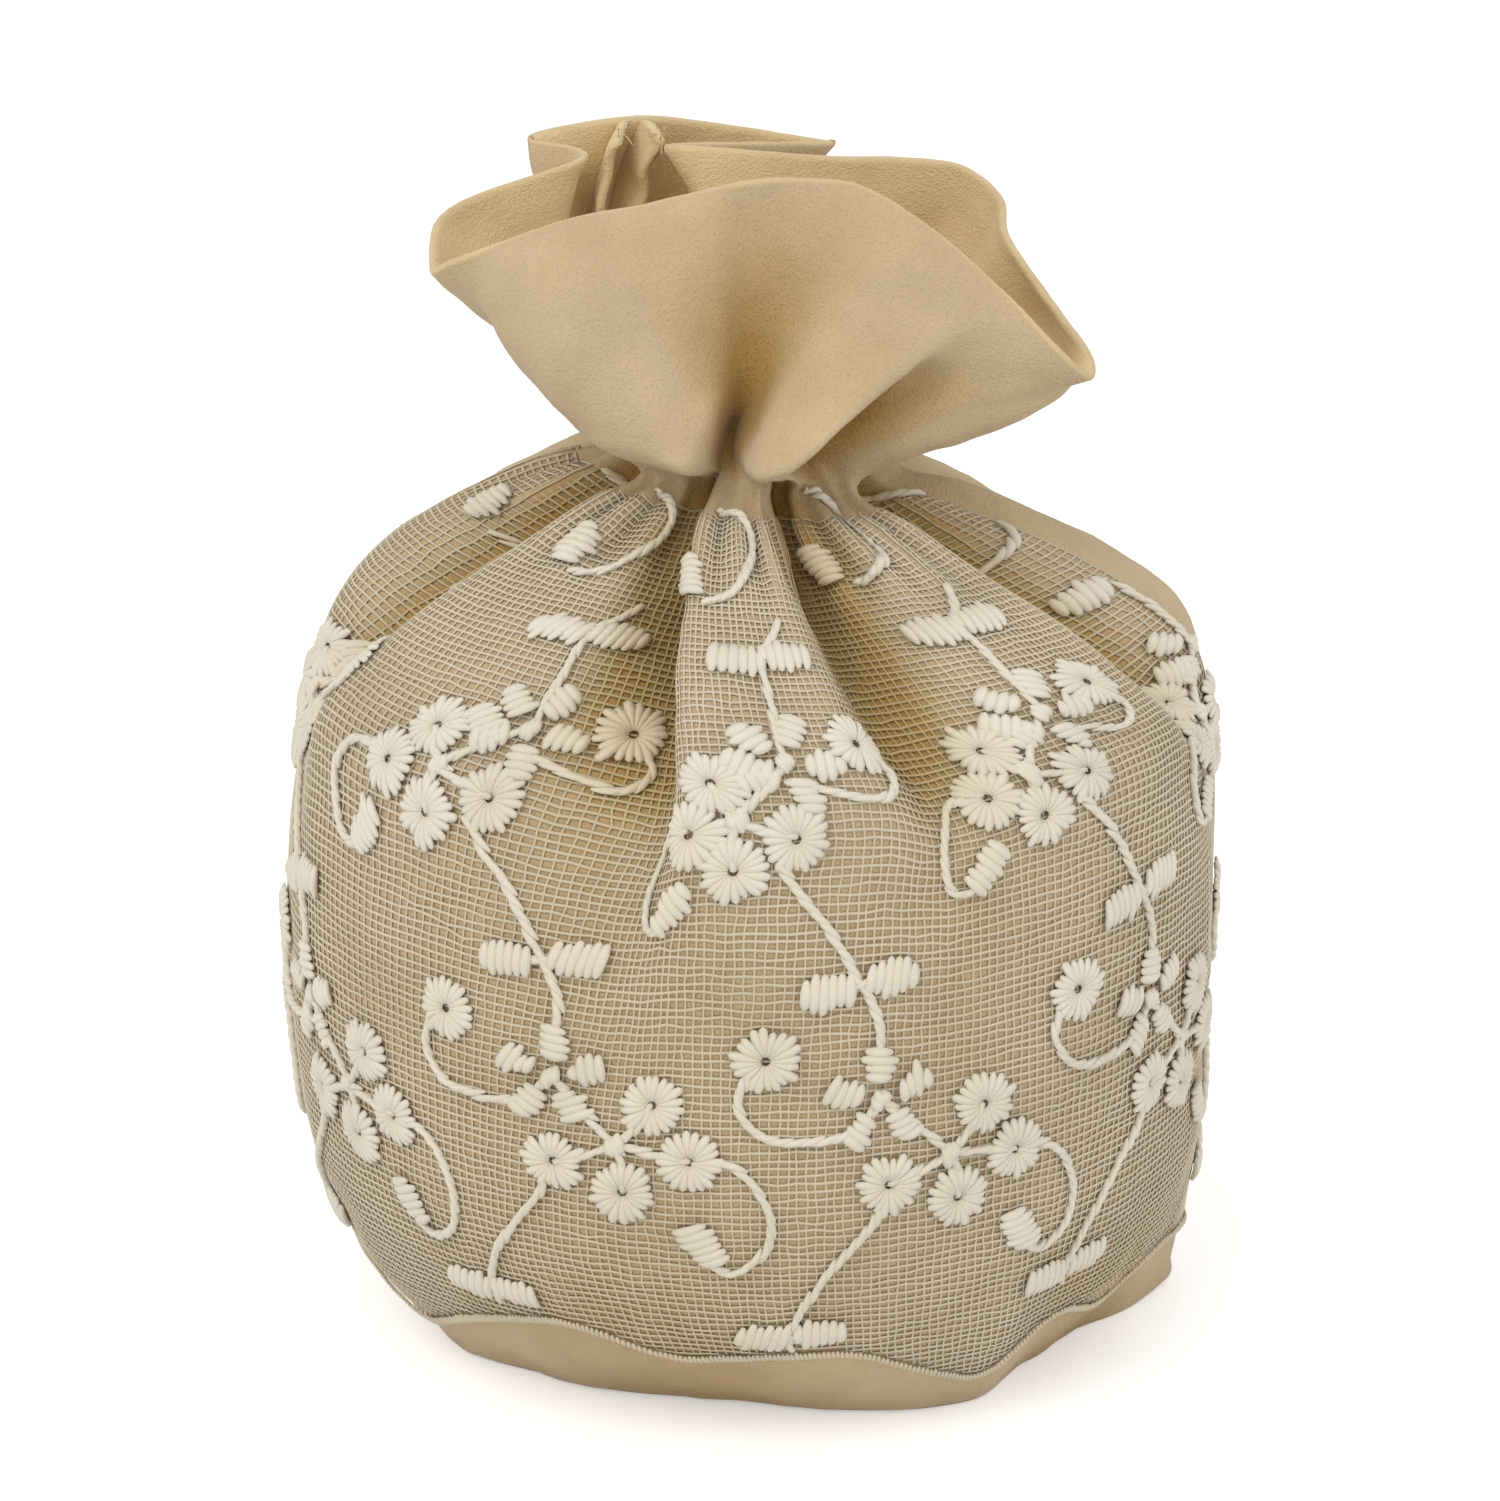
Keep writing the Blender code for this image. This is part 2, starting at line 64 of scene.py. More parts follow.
# Each fold going round from the left side: angle at the belly, angle at the neck, angle under the frill,
# reach of the base in mm, fullness of the body's fold and of the frill's, place on the frill's rim in mm.
folds = [
    (-92, -88, -90, 47.5, 0.85, 0.38, (-39.3, -9.5, 143.2)),
    (-81, -62, -79, 48.6, 0.00, 0.45, (-36.3, -15.5, 145.2)),
    (-73, -50, -66, 47.6, 1.00, 0.82, (-30.0, -17.2, 148.4)),
    (-54, -42, -48, 42.8, 1.00, 1.00, (-22.0, -18.3, 151.5)),
    (-34, -30, -29, 39.5, 0.66, 1.00, (-13.0, -18.5, 153.3)),
    (-13, -17, -16, 36.3, 0.00, 1.00, (-5.5, -18.0, 154.9)),
    (-9, -15, -13, 35.0, 0.95, 0.00, (0.5, -17.3, 155.7)),
    (4, -4, -7, 36.5, 1.00, 0.25, (6.5, -17.0, 155.9)),
    (16, 5, 0, 38.2, 0.92, 0.90, (13.5, -17.5, 155.2)),
    (24, 14, 7, 40.0, 0.00, 1.00, (21.5, -19.2, 150.6)),
    (34, 22, 12, 41.0, 0.55, 0.82, (30.0, -21.7, 143.6)),
    (46, 32, 20, 38.5, 0.95, 0.00, (36.5, -24.0, 137.0)),
    (58, 42, 36, 38.5, 1.00, 0.32, (40.8, -22.0, 133.0)),
    (66, 49, 52, 39.8, 1.00, 0.80, (41.5, -17.0, 133.9)),
    (75, 61, 72, 46.0, 0.05, 0.85, (40.6, -12.5, 135.6)),
    (89, 86, 88, 50.8, 0.92, 0.90, (38.5, -7.5, 137.8)),
    (103, 104, 104, 50.0, 1.00, 1.00, (35.5, -1.0, 141.0)),
    (119, 118, 118, 47.0, 0.00, 0.70, (32.5, 6.0, 144.2)),
    (134, 132, 132, 42.0, 1.00, 0.90, (31.7, 12.5, 147.5)),
    (149, 147, 147, 39.0, 0.90, 1.00, (25.6, 18.0, 150.8)),
    (164, 161, 161, 38.0, 0.00, 0.60, (8.0, 18.3, 151.5)),
    (180, 176, 176, 38.5, 1.00, 0.20, (-10.0, 15.5, 153.5)),
    (195, 192, 192, 41.0, 0.90, 0.60, (2.0, 22.5, 152.0)),
    (209, 206, 206, 43.0, 0.00, 1.00, (11.0, 29.0, 150.8)),
    (223, 220, 220, 42.5, 0.90, 1.00, (-2.5, 28.0, 153.4)),
    (236, 234, 234, 41.5, 1.00, 0.90, (-15.0, 23.0, 155.6)),
    (247, 246, 246, 43.0, 0.00, 0.40, (-28.4, 17.5, 153.9)),
    (257, 257, 256, 46.0, 0.80, 0.60, (-21.5, 13.0, 152.5)),
    (264, 264, 264, 46.5, 1.00, 0.50, (-37.8, 2.5, 147.9)),
]

# Levels of the body from the base up: height in mm on a ridge and in a valley, reach on a ridge and in a
# valley as a share of the belly, how far the base has grown to the belly, how far the folds draw in, how
# far the shoulder leans to the right in mm, and how much of the neck's tilt it takes.
levels = [
    (0.0, 0.0, 1.00, 1.00, 0.0, -1.0, 0.0, 0.0),
    (2.5, 2.5, 1.00, 1.00, 0.13, -1.0, 0.0, 0.0),
    (8.0, 8.0, 1.00, 1.00, 0.40, -1.0, 0.0, 0.0),
    (17.0, 17.0, 1.00, 1.00, 0.70, -1.0, 0.0, 0.0),
    (30.0, 30.0, 1.00, 1.00, 0.92, -1.0, 0.0, 0.0),
    (46.0, 46.0, 1.00, 1.00, 1.0, -0.85, 0.0, 0.0),
    (62.0, 61.5, 1.00, 1.00, 1.0, -0.6, 0.2, 0.0),
    (77.0, 76.0, 0.985, 0.98, 1.0, -0.35, 0.7, 0.0),
    (88.5, 85.5, 0.955, 0.925, 1.0, -0.05, 1.3, 0.15),
    (97.5, 92.5, 0.89, 0.75, 1.0, 0.4, 1.7, 0.35),
    (104.0, 98.5, 0.77, 0.55, 1.0, 0.6, 1.2, 0.5),
    (109.5, 104.0, 0.61, 0.39, 1.0, 0.75, 0.5, 0.6),
    (114.0, 110.0, 0.43, 0.28, 1.0, 0.9, 0.0, 0.8),
]
# The frill from the neck up: share of the way to the rim, how far its front swells and its corners do,
# and how deep and how wide (degrees) the hollow in its front is there. Depths are in mm.
frillSteps = [
    (0.0, 0.0, 0.0, 0.0, 8.0),
    (0.12, 2.0, 1.4, 5.0, 11.0),
    (0.28, 3.6, 4.0, 10.0, 16.0),
    (0.5, 4.6, 6.4, 9.0, 22.0),
    (0.72, 3.6, 6.0, 4.8, 26.0),
    (0.9, 1.4, 2.8, 1.0, 28.0),
]
frill = {
    "hollowAngle": -8.0,  # the middle of the hollow and the reach of its early folds, degrees
    "hollowReach": 14.0,
    "wider": 6.2,  # how much wider than the neck the frill starts, how far above it, and its sag, mm
    "above": 4.5,
    "sag": 1.5,
    "late": 0.9,  # how late the folds between the lobes come out, and how much earlier in the hollow
    "early": 1.3,
}
rowTimes = [4, 3, 2, 2, 3, 5, 6, 7, 7, 6, 6, 6, 6, 5, 3, 3, 4, 4, 5, 6, 6, 6, 5]  # rows from ring to ring
baseRing, bellyRing, frillStart = 2, 7, 17  # places in the list that clothRings makes

# Small pleats at the neck: columns to a pleat, depth in mm, height up the cloth and reach.
pleats = {"columns": 6.0, "depth": 1.0, "at": 136.0, "reach": 9.0, "wander": 0.25}

belly, neckAngle, frillAngle, baseReach, bodyFull, frillFull = np.array([f[:6] for f in folds], float).T
rimPoints = np.array([f[6] for f in folds]) * mm
foldCount = len(folds)
seamAngle = belly[pouch["seamFold"]]


def heading(degrees):
    a = np.radians(degrees)
    return np.stack([np.sin(a), -np.cos(a), np.zeros_like(a)], axis=1)


def upright(heights):
    return np.stack([np.zeros_like(heights), np.zeros_like(heights), heights], axis=1)


def baseCentre():
    return np.array([*pouch["baseMiddle"], 0.0])


def evenAngles():
    # where each fold's cloth lies low on the body, where the folds have run out
    steps = [np.roll(belly, -i) + np.where(np.arange(foldCount) + i >= foldCount, 360, 0)
             - np.where(np.arange(foldCount) + i < 0, 360, 0) for i in range(-3, 4)]
    return np.mean(steps, axis=0)


def bodyRing(zHigh, zLow, rHigh, rLow, grown, drawn, lean, tilt):
    angle = belly + (neckAngle - belly) * max(drawn, 0.0)
    angle = angle + (evenAngles() - angle) * max(-drawn, 0.0)
    a = np.radians(angle)
    outline = 1 / np.hypot(np.sin(a) / (pouch["bellyWidth"] / 2), np.cos(a) / (pouch["bellyDepth"] / 2))
    foot = baseReach * mm
    reach = (foot + (outline - foot) * grown) * (rLow + (rHigh - rLow) * bodyFull)
    ring = heading(angle) * reach[:, None] + baseCentre() * (1 - grown) + (lean * mm, 0, 0)
    return ring + upright((zLow + (zHigh - zLow) * bodyFull) * mm + ring[:, 0] * pouch["neckTilt"] * tilt)


def seamRing():
    # the cloth's ends meet under the base in a straight seam
    a = np.radians(belly - seamAngle)
    along = heading(np.array([seamAngle]))[0]
    across = np.array([-along[1], along[0], 0.0])
    side = np.where((belly - seamAngle) % 360 < 180, 1, -1) * np.where(np.abs(np.sin(a)) < 0.01, 0, 1)
    ring = along * np.cos(a)[:, None] * pouch["baseSeam"] + across * side[:, None] * pouch["baseGap"]
    return ring + baseCentre()


def neckRing(full):
    throat, neck = pouch["throatRadius"], pouch["neckRadius"]
    ring = heading(neckAngle) * (throat + (neck - throat) * full)[:, None]
    return ring + upright(pouch["neckHeight"] + ring[:, 0] * pouch["neckTilt"])


def frillRing(share, swell, corner, depth, width):
    throat, neck = pouch["throatRadius"], pouch["neckRadius"]
    away = heading(frillAngle)
    start = away * (throat + (neck + frill["wider"] * mm - throat) * frillFull)[:, None]
    start = start + upright(pouch["neckHeight"] + start[:, 0] * pouch["neckTilt"] + frill["above"] * mm)
    # folds between the lobes come out late, but those in the hollow come out early
    fromHollow = frillAngle - frill["hollowAngle"]
    early = np.exp(-((fromHollow / frill["hollowReach"]) ** 2)) * frill["early"]
    lag = 1 + (1 - frillFull) * (frill["late"] - early)
    side = np.sin(np.radians(frillAngle)) ** 2
    ring = start + (rimPoints - start) * np.stack([share**lag, share**lag, share ** (1 + 0.2 * side)], axis=1)
    out = rimPoints * (0.5, 1.0, 0.0)
    out = out / np.linalg.norm(out, axis=1)[:, None]
    front = np.maximum(0, np.cos(np.radians(fromHollow))) ** 2
    inHollow = np.exp(-((fromHollow / width) ** 2)) * frillFull
    ring = ring + (away * 0.3 + out * 0.7) * (swell * mm * frillFull * front)[:, None]
    ring = ring + away * ((corner * side * (0.3 + 0.7 * frillFull) - depth * inHollow) * mm)[:, None]
    return ring + upright(-frill["sag"] * mm * frillFull * (1 - share))


def between(a, b, c, d, t):
    # a point at t on a smooth curve from b to c, past a and towards d
    return 0.5 * (2 * b + (c - a) * t + (2 * a - 5 * b + 4 * c - d) * t * t + (3 * b - a - 3 * c + d) * t**3)


def spreadRing(ring, times):
    parts = [between(np.roll(ring, 1, 0), ring, np.roll(ring, -1, 0), np.roll(ring, -2, 0), i / times)
             for i in range(times)]
    return np.stack(parts, axis=1).reshape(-1, 3)


def clothRings():
    inner = pouch["baseInner"]
    rings = [seamRing(), bodyRing(*levels[0]) * inner + baseCentre() * (1 - inner)]
    rings += [bodyRing(*level) for level in levels]
    rings.append(neckRing(bodyFull) - (0, 0, pouch["underNeck"]))
    rings.append(neckRing((bodyFull + frillFull) / 2))
    rings += [frillRing(*step) for step in frillSteps]
    rings.append(rimPoints)
    return [spreadRing(ring, pouch["columnsPerFold"]) for ring in rings]


def clothGrid():
    rings = clothRings()
    last = len(rings) - 1
    grid = []
    for k in range(last):
        a, b, c, d = (rings[min(max(k + i, 0), last)] for i in (-1, 0, 1, 2))
        grid += [between(a, b, c, d, i / rowTimes[k]) for i in range(rowTimes[k])]
    return np.array(grid + [rings[last]]) + np.array(pouch["place"])


def gridNormals(grid):
    across = np.roll(grid, -1, 1) - np.roll(grid, 1, 1)
    up = np.empty_like(grid)
    up[1:-1] = grid[2:] - grid[:-2]
    up[0], up[-1] = grid[1] - grid[0], grid[-1] - grid[-2]
    n = np.cross(across, up)
    return n / np.maximum(np.linalg.norm(n, axis=2), 1e-12)[..., None]


grid = clothGrid()
normals = gridNormals(grid)
around, rowCount = grid.shape[1], grid.shape[0]
baseRow = sum(rowTimes[:baseRing])
bellyRow = sum(rowTimes[:bellyRing])
frillRow = sum(rowTimes[:frillStart])

# How far each column lies round the belly and each row up the cloth from the base's edge, in mm.
frontColumn = pouch["frontFold"] * pouch["columnsPerFold"]
steps = np.linalg.norm(np.roll(grid[bellyRow], -1, 0) - grid[bellyRow], axis=1) / mm
girth = steps.sum()
columnPlace = np.concatenate([[0], np.cumsum(steps)]) - steps[:frontColumn].sum()
rises = np.linalg.norm(grid[1:] - grid[:-1], axis=2).mean(axis=1) / mm
rowPlace = np.concatenate([[0], np.cumsum(rises)]) - rises[:baseRow].sum()


def pleated(grid):
    # small pleats where the elastic gathers the cloth
    out = grid.copy()
    wander = np.cumsum(chance.normal(0, pleats["wander"], around))
    turn = np.arange(around) * math.tau / pleats["columns"] + wander
    for r in range(rowCount):
        depth = pleats["depth"] * math.exp(-(((rowPlace[r] - pleats["at"]) / pleats["reach"]) ** 2))
        out[r] += normals[r] * (np.sin(turn) * depth * mm)[:, None]
    return out


def crinkled(grid):
    # the cloth is a little uneven, more so above the base's edge
    out = grid.copy()
    for r in range(baseRow + 1, rowCount):
        for c in range(around):
            p = Vector(grid[r, c])
            rise = noise.noise(p * crinkle["coarse"]) * crinkle["coarseShare"]
            rise += noise.noise(p * crinkle["fine"] + Vector((5, 3, 1)))
            out[r, c] += normals[r, c] * rise * crinkle["height"]
    return out


grid = crinkled(pleated(grid))
normals = gridNormals(grid)
print("cloth drawn:", rowCount, "rows of", around)


# How the folds' painted shade is laid: folds counted on each side, the depth of the darkest in mm, the share,
# height and reach of the painted shade at the gathers, and how far below the rim it fades, in mm.
shadow = {"near": 3, "deepest": 4.2, "gathers": 0.6, "height": 134.0, "reach": 8.0, "fade": 30.0}


def paintedShadeShares():
    # painted shade share: how far each point lies inside its neighbours, 0 on ridges, 1 at the bottom of a
    # deep fold
    middle = grid.mean(axis=1, keepdims=True)
    reach = np.linalg.norm((grid - middle)[..., :2], axis=2)
    wide = shadow["near"] * pouch["columnsPerFold"]
    nearby = np.mean([np.roll(reach, k, axis=1) for k in range(-wide, wide + 1)], axis=0)
    gathered = shadow["gathers"] * np.exp(-(((rowPlace - shadow["height"]) / shadow["reach"]) ** 2))
    fade = np.clip((rowPlace[-1] - rowPlace) / shadow["fade"], 0, 1)
    inward = (nearby - reach) / (shadow["deepest"] * mm)
    return np.clip((inward + gathered[:, None]) * fade[:, None], 0, 1)


def clothSpans():
    # how much the cloth is drawn together sideways, against the belly, over a few columns on each side
    wide = np.linalg.norm(np.roll(grid, -1, 1) - grid, axis=2) / mm / steps
    near, least, most = 5, 0.25, 1.2
    mean = np.mean([np.roll(wide, k, axis=1) for k in range(-near, near + 1)], axis=0)
    return np.clip(mean, least, most)[..., None]


shadeShares, spans = paintedShadeShares(), clothSpans()


def readCloth(values, flat):
    # what a table of the cloth holds at flat points: mm round the belly, mm up the cloth
    x = (flat[..., 0] - columnPlace[0]) % girth + columnPlace[0]
    c = np.interp(x, columnPlace, np.arange(around + 1.0))
    r = np.interp(flat[..., 1], rowPlace, np.arange(float(rowCount)))
    c0 = np.minimum(c.astype(int), around - 1)
    r0 = np.minimum(r.astype(int), rowCount - 2)
    t, w = (c - c0)[..., None], (r - r0)[..., None]
    c1 = (c0 + 1) % around
    low = values[r0, c0] * (1 - t) + values[r0, c1] * t
    return low * (1 - w) + (values[r0 + 1, c0] * (1 - t) + values[r0 + 1, c1] * t) * w


def onCloth(flat):
    # flat points (mm round the belly, mm up the cloth, mm off the cloth) laid on the pouch
    n = readCloth(normals, flat)
    return readCloth(grid, flat) + n / np.linalg.norm(n, axis=-1)[..., None] * flat[..., 2:] * mm


def markPaintedShade(piece, values):
    # the share of painted shade, kept on the piece's points
    layer = piece.data.attributes.new("paintedShadeShare", "FLOAT", "POINT")
    layer.data.foreach_set("value", values.reshape(-1))


def addPiece(name, points, faces, finish):
    mesh = bpy.data.meshes.new(name)
    mesh.from_pydata(points.reshape(-1, 3).tolist(), [], faces)
    mesh.update()
    mesh.shade_smooth()
    mesh.materials.append(finish)
    piece = bpy.data.objects.new(name, mesh)
    bpy.context.scene.collection.objects.link(piece)
    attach(piece, "root")
    return piece


# Finishes.
def newFinish(name, colour, roughness, sheen=0.0):
    m = bpy.data.materials.new(name)
    m.use_nodes = True
    shader = m.node_tree.nodes["Principled BSDF"]
    shader.inputs["Base Color"].default_value = (*colour, 1)
    shader.inputs["Roughness"].default_value = roughness
    shader.inputs["Specular IOR Level"].default_value = 0.25
    shader.inputs["Sheen Weight"].default_value = sheen
    shader.inputs["Sheen Roughness"].default_value = 0.5
    return m, m.node_tree, shader


def node(tree, kind, **values):
    n = tree.nodes.new(kind)
    for key, value in values.items():
        if key in n.inputs:
            n.inputs[key].default_value = value
        else:
            setattr(n, key, value)
    return n


def ramp(tree, source, stops):
    n = tree.nodes.new("ShaderNodeValToRGB")
    while len(n.color_ramp.elements) < len(stops):
        n.color_ramp.elements.new(0.5)
    for element, (place, colour) in zip(n.color_ramp.elements, stops):
        element.position = place
        element.color = (*colour, 1)
    tree.links.new(source, n.inputs["Fac"])
    return n.outputs["Color"]


def blended(tree, fac, a, b, how="MIX"):
    # inputs 6 and 7 and output 2 are the node's colours
    n = node(tree, "ShaderNodeMix", data_type="RGBA", blend_type=how)
    for socket, value in ((n.inputs["Factor"], fac), (n.inputs[6], a), (n.inputs[7], b)):
        if isinstance(value, bpy.types.NodeSocket):
            tree.links.new(value, socket)
        else:
            socket.default_value = value if isinstance(value, (int, float)) else (*value, 1)
    return n.outputs[2]


crepe = {
    "light": (0.535, 0.41, 0.245),
    # painted shade: the crepe's colour in deep folds and at the neck's gathers
    "paintedFoldShade": (0.40, 0.245, 0.07),
    "inside": (0.70, 0.545, 0.30),  # painted light: the frill's inside looks lit through its far walls
    # painted shade seen through the pinholes, and a painted glint where the frill's inside is painted as
    # backlit
    "paintedPinholeShade": (0.15, 0.09, 0.035),
    "paintedGlint": (0.95, 0.84, 0.52),
    "grain": 2900.0,  # pinholes, blotches, fibres and crimps to a metre
    "blotch": 120.0,
    "fibre": 1500.0,
    "crimp": 650.0,
    "pinholeShadeStrength": (0.5, 0.24),  # how strongly the pinholes' painted shade shows: more in deep folds, and everywhere
    "bump": 0.55,
    "bumpHeight": 0.00018,
}


def crepeFinish():
    m, tree, shader = newFinish("crepe cloth", crepe["light"], 0.9, 0.15)
    place = tree.nodes.new("ShaderNodeTexCoord").outputs["Object"]
    shadeShare = node(tree, "ShaderNodeAttribute", attribute_name="paintedShadeShare").outputs["Fac"]
    inside = node(tree, "ShaderNodeAttribute", attribute_name="paintedBacklightShare").outputs["Fac"]
    cells = node(tree, "ShaderNodeTexVoronoi", Scale=crepe["grain"])
    blotch = node(tree, "ShaderNodeTexNoise", Scale=crepe["blotch"], Detail=3.0)
    fibre = node(tree, "ShaderNodeTexNoise", Scale=crepe["fibre"], Detail=3.0)
    crimp = node(tree, "ShaderNodeTexNoise", Scale=crepe["crimp"], Detail=2.0)
    for texture in (cells, blotch, fibre, crimp):
        tree.links.new(place, texture.inputs["Vector"])
    worn = ramp(tree, blotch.outputs["Fac"], [(0.3, (0.94, 0.93, 0.91)), (0.7, (1.05, 1.05, 1.06))])
    # painted shade in the folds, and painted backlight on the frill's inside
    body = blended(tree, shadeShare, crepe["light"], crepe["paintedFoldShade"])
    body = blended(tree, inside, body, crepe["inside"])
    body = blended(tree, 1.0, body, worn, "MULTIPLY")
    # the pinhole pattern is real; its dark colour is painted shade, stronger in deep folds, turned to a
    # painted glint on the frill's inside
    hole = ramp(tree, cells.outputs["Distance"], [(0.16, (1, 1, 1)), (0.32, (0, 0, 0))])
    strength = node(tree, "ShaderNodeMath", operation="MULTIPLY_ADD")
    tree.links.new(shadeShare, strength.inputs[0])
    strength.inputs[1].default_value, strength.inputs[2].default_value = crepe["pinholeShadeStrength"]
    amount = node(tree, "ShaderNodeMath", operation="MULTIPLY")
    tree.links.new(hole, amount.inputs[0])
    tree.links.new(strength.outputs[0], amount.inputs[1])
    pinholeShadeAndGlint = blended(tree, inside, crepe["paintedPinholeShade"], crepe["paintedGlint"])
    tree.links.new(blended(tree, amount.outputs[0], body, pinholeShadeAndGlint), shader.inputs["Base Color"])
    rough = node(tree, "ShaderNodeMath", operation="ADD")
    tree.links.new(crimp.outputs["Fac"], rough.inputs[0])
    tree.links.new(fibre.outputs["Fac"], rough.inputs[1])
    height = node(tree, "ShaderNodeMath", operation="ADD")
    tree.links.new(cells.outputs["Distance"], height.inputs[0])
    tree.links.new(rough.outputs[0], height.inputs[1])
    bump = node(tree, "ShaderNodeBump", Strength=crepe["bump"], Distance=crepe["bumpHeight"])
    tree.links.new(height.outputs[0], bump.inputs["Height"])
    tree.links.new(bump.outputs["Normal"], shader.inputs["Normal"])
    return m


def threadFinish(name, colour, shade, paintedFoldShade, grain, roughness):
    m, tree, shader = newFinish(name, colour, roughness, 0.2)
    place = tree.nodes.new("ShaderNodeTexCoord").outputs["Object"]
    fibre = node(tree, "ShaderNodeTexNoise", Scale=grain, Detail=4.0)
    tone = node(tree, "ShaderNodeTexNoise", Scale=70.0, Detail=2.0)
    for texture in (fibre, tone):
        tree.links.new(place, texture.inputs["Vector"])
    mixed = node(tree, "ShaderNodeMath", operation="MULTIPLY_ADD")
    tree.links.new(fibre.outputs["Fac"], mixed.inputs[0])
    mixed.inputs[1].default_value = 0.5
    tree.links.new(tone.outputs["Fac"], mixed.inputs[2])
    shadeShare = node(tree, "ShaderNodeAttribute", attribute_name="paintedShadeShare").outputs["Fac"]
    lit = ramp(tree, mixed.outputs[0], [(0.45, shade), (0.85, colour)])
    # painted shade: in folds the thread's colour is mixed toward the darker fold colour
    tree.links.new(blended(tree, shadeShare, lit, paintedFoldShade), shader.inputs["Base Color"])
    bump = node(tree, "ShaderNodeBump", Strength=0.5, Distance=0.0001)
    tree.links.new(fibre.outputs["Fac"], bump.inputs["Height"])
    tree.links.new(bump.outputs["Normal"], shader.inputs["Normal"])
    return m


crepeCloth = crepeFinish()
# the last colour of each thread is painted shade for threads lying in folds
netThread = threadFinish(
    "net thread", colour=(0.63, 0.55, 0.40), shade=(0.55, 0.475, 0.33), paintedFoldShade=(0.50, 0.375, 0.17),
    grain=2600.0, roughness=0.8
)
vineThread = threadFinish(
    "embroidery thread", colour=(0.73, 0.67, 0.55), shade=(0.64, 0.585, 0.46), paintedFoldShade=(0.62, 0.53, 0.36),
    grain=3200.0, roughness=0.6
)
elasticBand = threadFinish(
    "covered elastic", colour=(0.62, 0.58, 0.48), shade=(0.5, 0.46, 0.37), paintedFoldShade=(0.5, 0.46, 0.37),
    grain=1800.0, roughness=0.75
)


# The cloth: outside, rolled rim and inside in one skin.
cloth = {
    "body": 0.6,  # thickness there and in the frill, mm
    "frill": 1.1,
    "blendRows": 4,  # rows on each side over which the one becomes the other
    "rollSteps": 5,
    "insideShade": 0.6,  # how much of the outside's painted fold shade the inside has
    "paintedBacklightRows": 12,  # rows over which the painted backlight on the frill's inside grows
    "flat": (0.365, 0.212),
}

# The raw edges of the cloth's upright seam stand up inside the back of the frill.
seam = {
    "rows": 17,  # rows of cloth under the rim that the edges follow
    "reach": 7.0,
    "thick": 1.3,
    "layers": ((-1.3, 1.1, -30.0), (1.3, 0.9, -2.0)),  # how far aside in mm, share of the reach, lean
    "taperRows": 6,
    "sag": 1.6,
    "frays": 4,
    "frayHalf": 0.11,
    "frayStep": 0.7,
}


def rawEdge(aside, share, lean):
    # one raw edge as rows of points going inward from the seam, and the direction across it
    column = pouch["seamFold"] * pouch["columnsPerFold"]
    rows = np.arange(rowCount - seam["rows"], rowCount)
    start = grid[rows, column] - normals[rows, column] * cloth["frill"] * mm * 0.5
    inward = -normals[rows, column] * (1, 1, 0)
    inward /= np.linalg.norm(inward, axis=1)[:, None]
    beside = np.stack([-inward[:, 1], inward[:, 0], inward[:, 2]], axis=1)
    a = math.radians(lean)
    way = inward * math.cos(a) + beside * math.sin(a)
    along, out = np.arange(len(rows)), np.linspace(0, 1, 6)
    taper = np.minimum(1, along / seam["taperRows"])[:, None, None]
    ripple = np.sin(along * 0.9 + aside)[:, None, None] * 0.5
    strip = start[:, None] + way[:, None] * (out[None, :, None] * seam["reach"] * share * taper * mm)
    strip = strip + beside[:, None] * ((aside + ripple * out[None, :, None]) * mm)
    strip[..., 2] -= (out**2 * seam["sag"] * mm)[None]
    return strip, beside


def edgeFaces(high, across):
    # quads round a thin closed strip, and those that close its two ends
    faces = []
    for r in range(high - 1):
        a, b = r * across, (r + 1) * across
        faces += [(a + k, a + (k + 1) % across, b + (k + 1) % across, b + k) for k in range(across)]
    for r in (0, high - 1):
        a = r * across
        quads = [(a + k, a + k + 1, a + across - 2 - k, a + across - 1 - k) for k in range(across // 2 - 1)]
        faces += [quad[::-1] for quad in quads] if r == 0 else quads
    return faces


def looseThread(edge):
    # one fray: a short three-sided tube of four rings
    start = edge[chance.integers(2, 6)]
    bend = chance.normal(0, 1, (3, 3)) * seam["frayStep"] * mm
    path = start + np.cumsum(np.vstack([np.zeros(3), bend + (0, 0, 0.3 * mm)]), axis=0)
    ring = np.array([(1, 0, 0), (-0.5, 0.87, 0), (-0.5, -0.87, 0)]) * seam["frayHalf"] * mm
    faces = []
    for r in range(3):
        faces += [(r * 3 + k, r * 3 + (k + 1) % 3, r * 3 + 3 + (k + 1) % 3, r * 3 + 3 + k) for k in range(3)]
    return (path[:, None] + ring[None]).reshape(-1, 3), faces + [(2, 1, 0), (9, 10, 11)]


def seamEdges():
    shapes = []
    for layer in seam["layers"]:
        strip, beside = rawEdge(*layer)
        side = beside[:, None] * seam["thick"] * mm / 2
        skins = np.concatenate([strip - side, (strip + side)[:, ::-1]], axis=1)
        shapes.append((skins.reshape(-1, 3), edgeFaces(*skins.shape[:2])))
        shapes += [looseThread(strip[-1]) for _ in range(seam["frays"])]
    faces, count = [], 0
    for points, quads in shapes:
        faces += [tuple(count + i for i in quad) for quad in quads]
        count += len(points)
    return np.concatenate([points for points, quads in shapes]), faces


